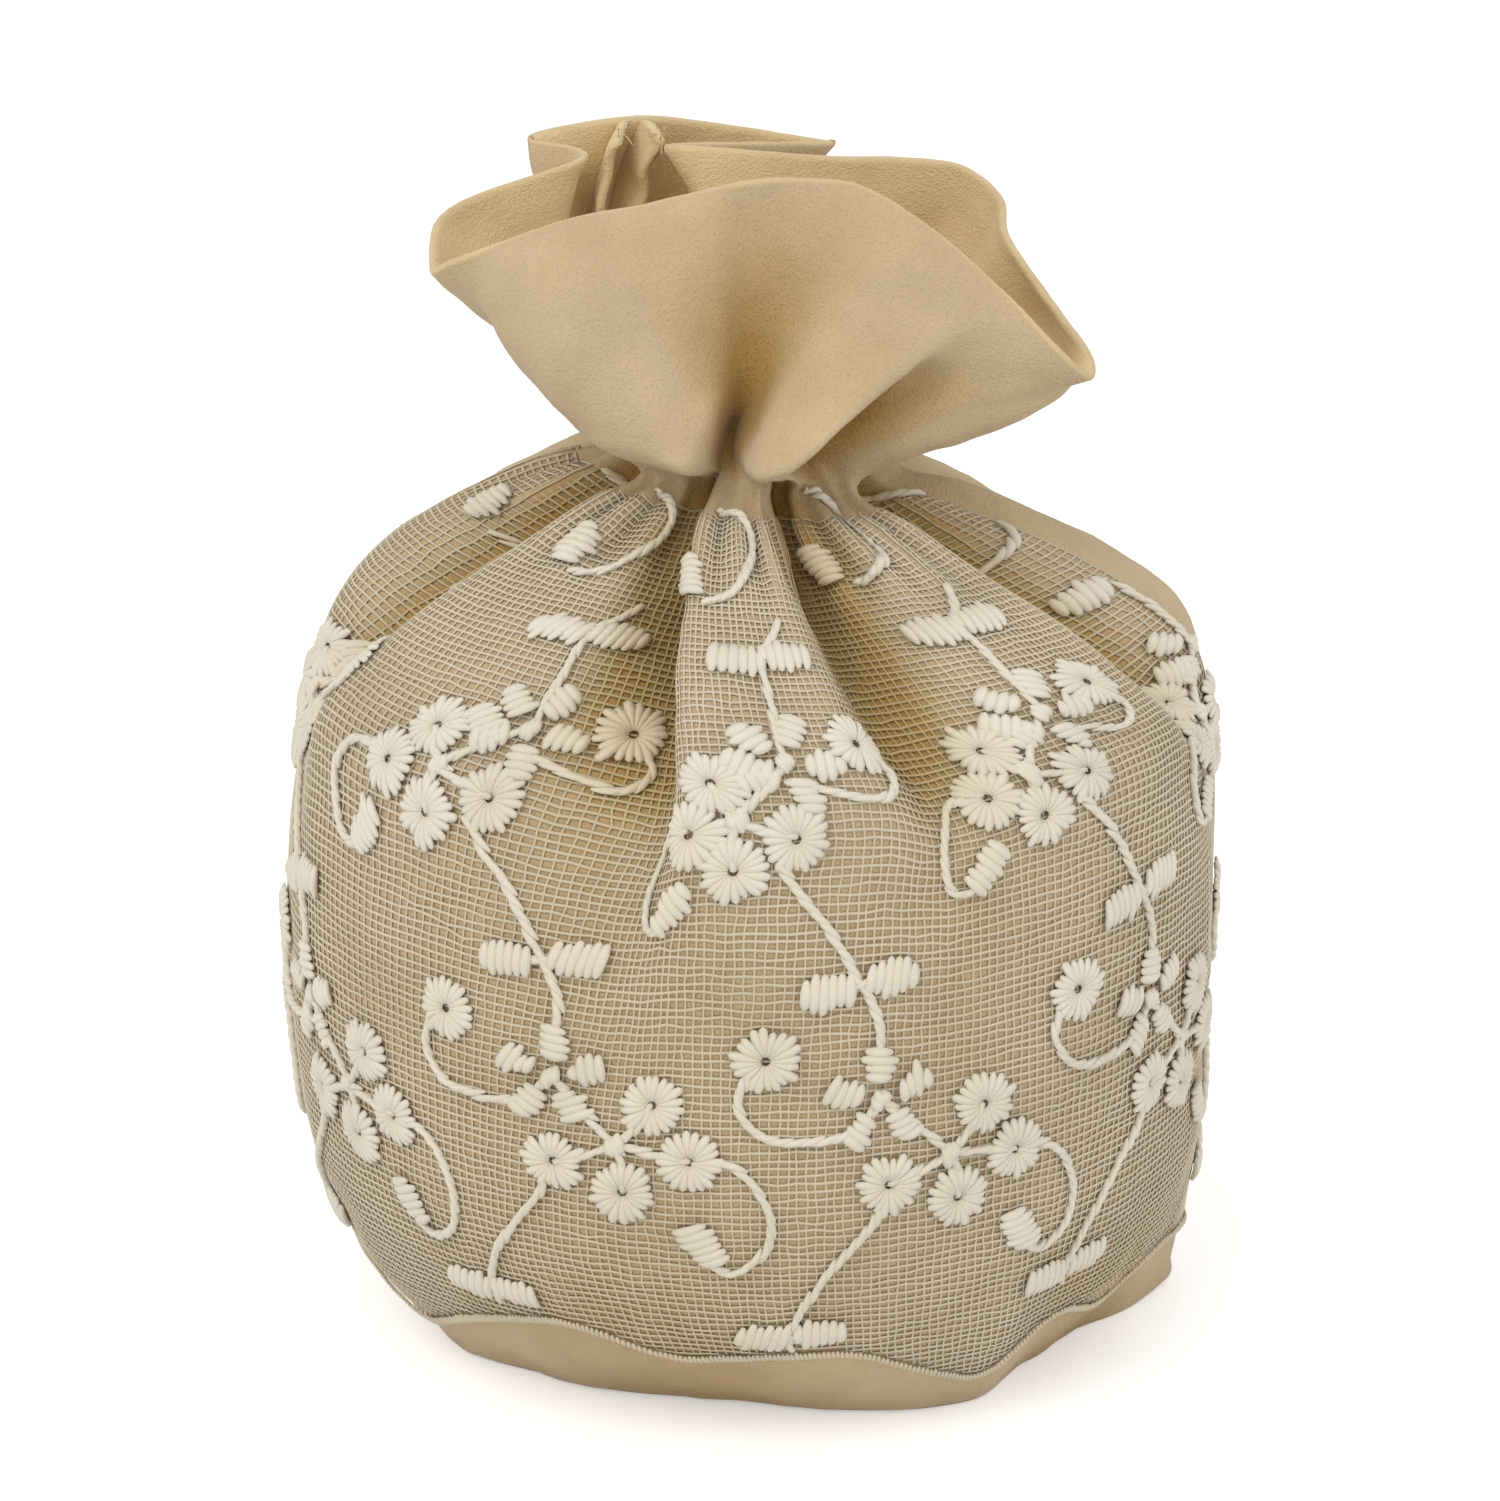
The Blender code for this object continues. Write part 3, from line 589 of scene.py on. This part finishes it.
def makeBag():
    thick = np.where(np.arange(rowCount) < frillRow, cloth["body"], cloth["frill"]) * mm
    blend = 2 * cloth["blendRows"] + 1
    thick = np.convolve(np.pad(thick, cloth["blendRows"], "edge"), np.ones(blend) / blend, "valid")
    up = grid[-1] - grid[-2]
    up /= np.linalg.norm(up, axis=1)[:, None]
    radius = thick[-1] / 2
    centre = grid[-1] - normals[-1] * radius
    roll = [
        centre + normals[-1] * radius * math.cos(a) + up * radius * math.sin(a)
        for a in (math.pi * k / cloth["rollSteps"] for k in range(1, cloth["rollSteps"]))
    ]
    inner = (grid - normals * thick[:, None, None])[::-1]
    points = np.concatenate([grid, np.array(roll), inner])
    points[..., 2] = np.maximum(points[..., 2], 0.0)
    rim = np.zeros((len(roll), around))
    # painted shade: the fold shade outside, none on the rolled rim, and weaker inside
    depth = np.concatenate([shadeShares, rim, shadeShares[::-1] * cloth["insideShade"]])
    # painted backlight: full on the frill's inside at the rim, fading down over some rows, half on the rolled
    # rim
    light = np.clip((np.arange(rowCount) - frillRow) / cloth["paintedBacklightRows"], 0, 1)
    light = light[::-1, None].repeat(around, axis=1)
    inside = np.concatenate([np.zeros_like(shadeShares), rim + 0.5, light])
    faces = []
    for r in range(len(points) - 1):
        a, b = r * around, (r + 1) * around
        faces += [(a + c, a + (c + 1) % around, b + (c + 1) % around, b + c) for c in range(around)]
    last = (len(points) - 1) * around
    faces += [(last + c, last + (c + 1) % around, (c + 1) % around, c) for c in range(around)]
    edges, quads = seamEdges()
    faces += [tuple(i + points[..., 0].size for i in quad) for quad in quads]
    points = np.concatenate([points.reshape(-1, 3), edges])
    bag = addPiece("crepeBag", points, faces, crepeCloth)
    markPaintedShade(bag, np.concatenate([depth.reshape(-1), np.zeros(len(edges))]))
    # the seam's raw edges also get painted backlight
    layer = bag.data.attributes.new("paintedBacklightShare", "FLOAT", "POINT")
    layer.data.foreach_set("value", np.concatenate([inside.reshape(-1), np.full(len(edges), 0.9)]))
    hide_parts("crepe_bag")
    return bag


makeBag()
print("bag made")


# The net: leno threads with real gaps.
net = {
    "left": -124.0,
    "right": 90.0,
    "bottom": 8.0,  # below the lowest place of the wavy edge
    "top": 140.5,
    "across": 1.15,  # pitch of the upright threads, mm
    "up": 1.08,
    "crossThread": (0.22, 0.08),  # half width and half height of the thread that lies across
    "uprightThread": (0.15, 0.08),
    "lift": 0.22,
    "drop": 0.02,  # how much lower the upright threads lie
    "uneven": 0.10,
    "crossEnd": 0.2,  # where the threads stop above the wavy edge, and the uprights below it
    "uprightEnd": 0.6,
    "margin": 0.6,  # stitches stay this far from the upright edges
    # how high the wavy edge is at places round the belly, mm
    "hem": [(-124, 18), (-104, 11), (-84, 17), (-66, 9), (-52, 16), (-38, 21), (-28, 22.5), (-16, 17),
            (-5, 19), (8, 20), (19, 14), (28, 8.8), (35, 13.5), (43, 18), (57, 11.5), (70, 17), (90, 12)],
}


def hemAt(x):
    places, heights = np.array(net["hem"], float).T
    return np.mean([np.interp(x + k, places, heights) for k in np.linspace(-4, 4, 9)], axis=0)


def tubes(centres, side, halves, shown, tight=1.0):
    # square tubes along the last axis but one, where two neighbours are both shown
    wide, high = halves
    ring = np.array([(wide, 0), (0, high), (-wide, 0), (0, -high)])
    verts = centres[:, :, None, :].repeat(4, axis=2)
    verts[..., side] += ring[:, 0] / np.asarray(tight)[..., None]
    verts[..., 2] += ring[:, 1]
    lines, count = shown.shape
    index = np.arange(lines * count * 4).reshape(lines, count, 4)
    both = shown[:, :-1] & shown[:, 1:]
    a, b = index[:, :-1][both], index[:, 1:][both]
    faces = [np.stack([a[:, k], b[:, k], b[:, (k + 1) % 4], a[:, (k + 1) % 4]], axis=1) for k in range(4)]
    starts = shown & ~np.pad(shown, ((0, 0), (1, 0)))[:, :-1]
    ends = shown & ~np.pad(shown, ((0, 0), (0, 1)))[:, 1:]
    faces += [index[starts], index[ends][:, ::-1]]
    return verts.reshape(-1, 3), np.concatenate(faces)


def evenly(start, end, pitch):
    return np.arange(start, end + 0.01, pitch)  # the end itself may be one of them


def makeNet():
    xs = evenly(net["left"], net["right"], net["across"] * 2)
    x, s = np.meshgrid(xs, evenly(net["bottom"], net["top"], net["up"]))
    wander = chance.normal(0, net["uneven"], x.shape)
    flat = np.stack([x, s + wander, np.full_like(x, net["lift"])], axis=2)
    across = tubes(flat, 1, net["crossThread"], s > hemAt(x) + net["crossEnd"])
    xs = evenly(net["left"], net["right"], net["across"])
    s, x = np.meshgrid(evenly(net["bottom"], net["top"], net["up"] * 2), xs)
    wander = chance.normal(0, net["uneven"], x.shape)
    flat = np.stack([x + wander, s, np.full_like(x, net["lift"] - net["drop"])], axis=2)
    shown = s > hemAt(x) - net["uprightEnd"]
    up = tubes(flat, 0, net["uprightThread"], shown, readCloth(spans, flat)[..., 0])
    flat = np.concatenate([across[0], up[0]])
    faces = np.concatenate([across[1], up[1] + len(across[0])])
    used = np.unique(faces)
    flat, faces = flat[used], np.searchsorted(used, faces)
    piece = addPiece("netOverlay", onCloth(flat), faces.tolist(), netThread)
    # painted shade on the net where the cloth below folds
    markPaintedShade(piece, readCloth(shadeShares[..., None], flat))
    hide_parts("net_overlay")
    return piece


netPiece = makeNet()
print("net made:", len(netPiece.data.polygons), "faces")


# Stitches: short plump strands of thread laid on the net.
stitch = {
    "rings": 5,
    "sides": 5,
    "lift": 0.50,  # middle of a stitch over the cloth at its ends, mm
    "rise": 0.48,
    "eyeletStitches": 20,
    "eyeletRadius": 3.85,
    "eyeletHole": 0.6,
    "satinPitch": 1.12,
    "satinHalf": 0.76,
    "satinSquare": 0.42,  # how square a leaf's ends are
    "stemPitch": 1.9,
    "stemLong": 3.6,
    "stemHalf": 0.50,
    "stemSlide": 0.36,  # how far each stem stitch slants to either side
}


class Stitches:
    def __init__(self):
        self.lines = []
        self.halves = []

    def add(self, points, wide, high):
        # points: (x, s, out) along the strand; half width and half height at each
        self.lines.append(points)
        self.halves.append(np.stack([wide, high], axis=1))

    def straight(self, a, b, wideA, wideB, rise, high=0.42):
        t = np.linspace(0, 1, stitch["rings"])
        arch = np.sin(math.pi * (0.08 + 0.84 * t)) ** 0.7
        x, s = a[0] + (b[0] - a[0]) * t, a[1] + (b[1] - a[1]) * t
        points = np.stack([x, s, stitch["lift"] + rise * arch], axis=1)
        full = np.array([0.55, 0.95, 1.0, 0.95, 0.6])
        self.add(points, (wideA + (wideB - wideA) * t) * full, high * full)

    def mesh(self):
        lines, halves = np.array(self.lines), np.array(self.halves)
        count, rings, sides = len(lines), stitch["rings"], stitch["sides"]
        tight = readCloth(spans, lines)[..., 0]
        along = np.gradient(lines[..., :2], axis=1)
        along[..., 0] *= tight
        along /= np.linalg.norm(along, axis=2)[..., None]
        across = np.stack([-along[..., 1], along[..., 0]], axis=2)
        turn = np.arange(sides) * math.tau / sides + math.pi / 2
        verts = lines[:, :, None, :].repeat(sides, axis=2)
        aside = across[:, :, None, :] * (halves[:, :, None, :1] * np.cos(turn)[None, None, :, None])
        aside[..., 0] /= tight[..., None]
        verts[..., :2] += aside
        verts[..., 2] += halves[:, :, None, 1] * np.sin(turn)
        tips = lines[:, [0, -1]].copy()
        ahead = along * halves[..., :1] * 0.7
        ahead[..., 0] /= tight
        tips[:, 0, :2] -= ahead[:, 0]
        tips[:, 1, :2] += ahead[:, -1]
        points = np.concatenate([verts.reshape(count, -1, 3), tips], axis=1)
        size = rings * sides + 2
        one = []
        for r in range(rings - 1):
            for k in range(sides):
                n = (k + 1) % sides
                one.append((r * sides + k, r * sides + n, (r + 1) * sides + n, (r + 1) * sides + k))
        last = (rings - 1) * sides
        caps = [((k + 1) % sides, k, size - 2) for k in range(sides)]
        caps += [(last + k, last + (k + 1) % sides, size - 1) for k in range(sides)]
        faces = []
        for n in range(count):
            faces += [tuple(i + n * size for i in face) for face in one + caps]
        return points.reshape(-1, 3), faces


# One vine on the flat: mm across from its own line and mm up the cloth.
vine = {
    # where each repeat lies, how it leans, and how it is raised and stretched, mm
    "places": [(-118.5, 0.0, 0.0, 0.0), (-75.4, 0.0, -0.7, 0.0), (-34.5, -0.8, 1.4, 0.1),
               (6.5, -0.5, -0.5, 0.7), (47.3, 0.1, 3.2, 1.1), (94.0, 0.0, 0.0, 0.0)],
    "middle": 75.0,  # height up the cloth that a lean or a stretch turns on, and half the vine's height
    "half": 50.0,
    "eyelets": [(-15.0, 97.0), (-18.7, 91.0), (-12.7, 87.0), (-6.0, 90.7), (4.7, 102.5), (-8.2, 64.0),
               (19.1, 56.0), (23.6, 48.8), (6.9, 47.0), (15.6, 44.0)],
    "hubs": [(-12.3, 92.6), (14.6, 50.2), (-5.4, 100.2), (5.6, 58.4)],
    "hub": (2.6, 2.4, 30),  # length, width and turn
    "leafFlowers": [(-5.4, 100.2, 68), (5.6, 58.4, 22)],  # middle and turn of the first leaf
    "leaves": [(-8.8, 114.6, 0), (-1.2, 115.4, 0), (-21.0, 82.6, 50), (-1.3, 72.4, 5), (6.5, 73.8, 5),
              (24.6, 37.4, 120), (-10.2, 24.8, 0), (-2.3, 25.3, 0), (-17.3, 127.6, 100),
              (-10.0, 99.0, 150)],
    "leafLong": 7.0,
    "leafWide": 4.3,
    "petalOut": 4.6,
    "petal": (5.0, 3.5),  # length and width
    "stems": [
        [(-13.7, 140.8), (-7.6, 139.1), (-3.5, 135.4), (-4.2, 130.4), (-7.9, 125.5), (-14.0, 123.6)],
        [(-10.0, 114.6), (-5.0, 115.0), (0.0, 115.4)],
        [(0.0, 121.0), (-2.5, 118.0), (-5.0, 115.0), (-5.2, 108.0), (-5.4, 101.0)],
        [(-5.4, 100.2), (-12.3, 92.6), (-12.7, 87.0)],
        [(-15.0, 97.0), (-12.3, 92.6), (-6.0, 90.7)],
        [(-4.0, 97.0), (4.5, 95.0), (8.0, 98.0), (6.0, 101.0)],
        [(-19.0, 91.5), (-24.5, 91.0), (-27.3, 86.0), (-26.0, 80.5), (-22.5, 80.0)],
        [(-8.0, 88.0), (-5.5, 85.0), (-1.5, 80.0), (2.6, 73.0), (5.2, 67.5), (5.2, 62.0)],
        [(-2.0, 72.3), (2.6, 73.0), (7.0, 73.9)],
        [(-10.0, 63.0), (-11.4, 58.5), (-8.6, 54.4), (-3.0, 53.6), (2.6, 54.8), (5.6, 58.4)],
        [(5.6, 58.4), (14.6, 50.2), (15.6, 44.0)],
        [(19.1, 56.0), (14.6, 50.2), (6.9, 47.0)],
        [(14.6, 50.2), (23.6, 48.8)],
        [(24.0, 48.6), (29.0, 48.2), (32.8, 42.5), (32.5, 36.5), (28.3, 33.3), (25.2, 34.8)],
        [(6.0, 46.0), (5.0, 42.0), (0.5, 36.5), (-3.4, 31.0), (-6.2, 25.5), (-6.2, 22.4)],
        [(-11.0, 24.8), (-6.2, 25.0), (-1.5, 25.3)],
    ],
}


def unevenness(size):
    return chance.normal(0, size)


def tightAt(x, s):
    return float(readCloth(spans, np.array([[x, s, 0.0]]))[0, 0])


def sewEyelet(work, x, s):
    number, tight = stitch["eyeletStitches"], tightAt(x, s)
    first = chance.uniform(0, 1)
    for k in range(number):
        a = math.tau * (k + first + unevenness(0.08)) / number
        reach = stitch["eyeletRadius"] + unevenness(0.24)
        near = stitch["eyeletHole"]
        start = (x + near * math.cos(a) / tight, s + near * math.sin(a))
        end = (x + reach * math.cos(a) / tight, s + reach * math.sin(a))
        work.straight(start, end, 0.20, math.pi * reach / number * 1.3, stitch["rise"])


def sewSatin(work, x, s, long, wide, turn):
    # parallel stitches across a leaf
    square = stitch["satinSquare"]
    c, d = math.cos(math.radians(turn)), math.sin(math.radians(turn))
    number = max(3, round(long / stitch["satinPitch"]))
    slant, tight = unevenness(0.1) + 0.18, tightAt(x, s)
    for k in range(number):
        u = (k + 0.5) / number * 2 - 1
        half = wide / 2 * (square + (1 - square) * math.sqrt(1 - u * u * 0.9)) + unevenness(0.22)
        middle = (u * (long / 2 - stitch["satinHalf"] / 2), unevenness(0.16))
        ends = [(middle[0] + e * half * slant, middle[1] + e * half) for e in (-1, 1)]
        a, b = [(x + (p * c - q * d) / tight, s + p * d + q * c) for p, q in ends]
        work.straight(a, b, stitch["satinHalf"], stitch["satinHalf"], stitch["rise"], 0.5)


def sewLeafFlower(work, x, s, first):
    out, tight = vine["petalOut"], tightAt(x, s)
    for k in range(5):
        turn = first + 72 * k
        a = math.radians(turn)
        sewSatin(work, x + out * math.cos(a) / tight, s + out * math.sin(a), *vine["petal"], turn)


def smoothPath(points):
    # fine points on a curve through the given ones, and how far along it each lies
    p = np.array([points[0], *points, points[-1]], float)
    fine = []
    for k in range(1, len(p) - 2):
        for t in np.arange(0, 1, 0.05):
            fine.append(between(p[k - 1], p[k], p[k + 1], p[k + 2], t))
    fine = np.array(fine + [p[-2]])
    run = np.concatenate([[0], np.cumsum(np.linalg.norm(np.diff(fine, axis=0), axis=1))])
    return fine, run


def sewStem(work, points):
    # overlapping slanted stitches that read as a two-ply cord
    fine, run = smoothPath(points)
    length = run[-1]
    number = max(2, round(length / stitch["stemPitch"]))
    long = stitch["stemLong"]
    for k in range(number):
        middle = (k + 0.5) / number * length
        t = np.clip(np.linspace(middle - long / 2, middle + long / 2, stitch["rings"]), 0, length)
        t += np.linspace(-0.02, 0.02, stitch["rings"])
        x, s = np.interp(t, run, fine[:, 0]), np.interp(t, run, fine[:, 1])
        ahead = np.stack([np.gradient(x), np.gradient(s)], axis=1)
        ahead /= np.linalg.norm(ahead, axis=1)[:, None]
        slide = np.linspace(-stitch["stemSlide"], stitch["stemSlide"], stitch["rings"]) + unevenness(0.12)
        x, s = x - ahead[:, 1] * slide, s + ahead[:, 0] * slide
        full = np.array([0.5, 0.9, 1.0, 0.9, 0.5]) * stitch["stemHalf"]
        out = stitch["lift"] + np.array([-0.05, 0.12, 0.2, 0.12, -0.05])
        work.add(np.stack([x, s, out], axis=1), full, full)


def sewVine(number, place):
    left, lean, rise, stretch = place

    def at(x, s):
        up = (s - vine["middle"]) / vine["half"]
        return left + x + lean * up, s + rise + stretch * up

    work = Stitches()
    for x, s in vine["eyelets"]:
        sewEyelet(work, *at(x, s))
    for x, s, turn in vine["leaves"]:
        sewSatin(work, *at(x, s), vine["leafLong"], vine["leafWide"], turn)
    for x, s, first in vine["leafFlowers"]:
        sewLeafFlower(work, *at(x, s), first)
    for x, s in vine["hubs"]:
        sewSatin(work, *at(x, s), *vine["hub"])
    for path in vine["stems"]:
        sewStem(work, [at(x, s) for x, s in path])
    first, last = net["left"] + net["margin"], net["right"] - net["margin"]
    keep = [k for k, line in enumerate(work.lines) if first < line[:, 0].min() and line[:, 0].max() < last]
    work.lines = [work.lines[k] for k in keep]
    work.halves = [work.halves[k] for k in keep]
    flat, faces = work.mesh()
    piece = addPiece(f"vine{number}", onCloth(flat), faces, vineThread)
    # painted shade on the stitches where the cloth below folds
    markPaintedShade(piece, readCloth(shadeShares[..., None], flat))
    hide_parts(f"vine_{number}", f"vine_{number}_curl")
    return piece


vines = [sewVine(number, place) for number, place in enumerate(vine["places"], 1)]
print("vines sewn:", sum(len(v.data.polygons) for v in vines), "faces")


# The net's wavy edge is whipped over with small stitches, sizes in mm.
whip = {"pitch": 0.62, "below": 0.35, "tall": 1.15, "slant": 0.7, "wide": 0.31, "high": 0.26, "rise": 0.1}


def makeHem():
    work = Stitches()
    for x in np.arange(net["left"], net["right"], whip["pitch"]):
        low = hemAt(x) - whip["below"]
        slope = (hemAt(x + 0.5) - hemAt(x - 0.5)) * whip["slant"]
        top = (x - slope, low + whip["tall"] + unevenness(0.08))
        work.straight((x + 0.1, low), top, whip["wide"], whip["wide"], whip["rise"], whip["high"])
    flat, faces = work.mesh()
    return addPiece("netHem", onCloth(flat), faces, netThread)


hem = makeHem()
print("hem whipped")

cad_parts["neck_elastic"].material_slots[0].material = elasticBand


# Stage, light and camera.
studio = {
    "floor": (0.9, 0.9, 0.9),
    "floorGlow": 0.37,
    "sky": 0.78,
    "key": (4.6, 0.7, (-0.45, -0.62, 0.92)),  # watts, size, place
    "fill": (1.5, 0.9, (0.8, -0.5, 0.45)),
}
shot = {"elevation": 20.0, "distance": 0.55, "middle": (0.00035, 0.00105, 0.0774), "lens": 101.57}


def seenStraight(tree):
    # 1 for what the camera, a reflection or a clear body sees
    rays = tree.nodes.new("ShaderNodeLightPath").outputs
    first = node(tree, "ShaderNodeMath", operation="MAXIMUM")
    tree.links.new(rays["Is Camera Ray"], first.inputs[0])
    tree.links.new(rays["Is Glossy Ray"], first.inputs[1])
    second = node(tree, "ShaderNodeMath", operation="MAXIMUM")
    tree.links.new(first.outputs[0], second.inputs[0])
    tree.links.new(rays["Is Transmission Ray"], second.inputs[1])
    return second.outputs[0]


def makeFloor():
    m = bpy.data.materials.new("floor")
    m.use_nodes = True
    tree = m.node_tree
    shader = tree.nodes["Principled BSDF"]
    shader.inputs["Base Color"].default_value = (*studio["floor"], 1)
    shader.inputs["Roughness"].default_value = 1.0
    shader.inputs["Specular IOR Level"].default_value = 0.0
    shader.inputs["Emission Color"].default_value = (1, 1, 1, 1)
    glow = node(tree, "ShaderNodeMath", operation="MULTIPLY")
    tree.links.new(seenStraight(tree), glow.inputs[0])
    glow.inputs[1].default_value = studio["floorGlow"]
    tree.links.new(glow.outputs[0], shader.inputs["Emission Strength"])
    bpy.ops.mesh.primitive_plane_add(size=8, location=(0, 0, 0))
    floor = bpy.context.object
    floor.name = "floor"
    floor.data.materials.append(m)


def makeSky():
    world = bpy.data.worlds.new("studio")
    bpy.context.scene.world = world
    world.use_nodes = True
    tree = world.node_tree
    background = tree.nodes["Background"]
    background.inputs["Color"].default_value = (1, 1, 1, 1)
    strength = node(tree, "ShaderNodeMath", operation="MULTIPLY_ADD")
    tree.links.new(seenStraight(tree), strength.inputs[0])
    strength.inputs[1].default_value = 1.0 - studio["sky"]
    strength.inputs[2].default_value = studio["sky"]
    tree.links.new(strength.outputs[0], background.inputs["Strength"])


def makeLamp(name):
    watts, size, place = studio[name]
    lamp = bpy.data.lights.new(name, "AREA")
    lamp.energy = watts
    lamp.size = size
    holder = bpy.data.objects.new(name, lamp)
    bpy.context.scene.collection.objects.link(holder)
    holder.location = place
    holder.rotation_euler = (Vector(shot["middle"]) - Vector(place)).to_track_quat("-Z", "Y").to_euler()


def makeCamera():
    camera = bpy.data.cameras.new("camera")
    camera.lens = shot["lens"]
    camera.sensor_width = 36.0
    holder = bpy.data.objects.new("camera", camera)
    bpy.context.scene.collection.objects.link(holder)
    e = math.radians(shot["elevation"])
    away = Vector((0, -math.cos(e), math.sin(e))) * shot["distance"]
    holder.location = Vector(shot["middle"]) + away
    holder.rotation_euler = (-away).to_track_quat("-Z", "Y").to_euler()
    bpy.context.scene.camera = holder


makeFloor()
makeSky()
makeLamp("key")
makeLamp("fill")
makeCamera()
bpy.context.scene.view_settings.view_transform = "Standard"
print("studio set")
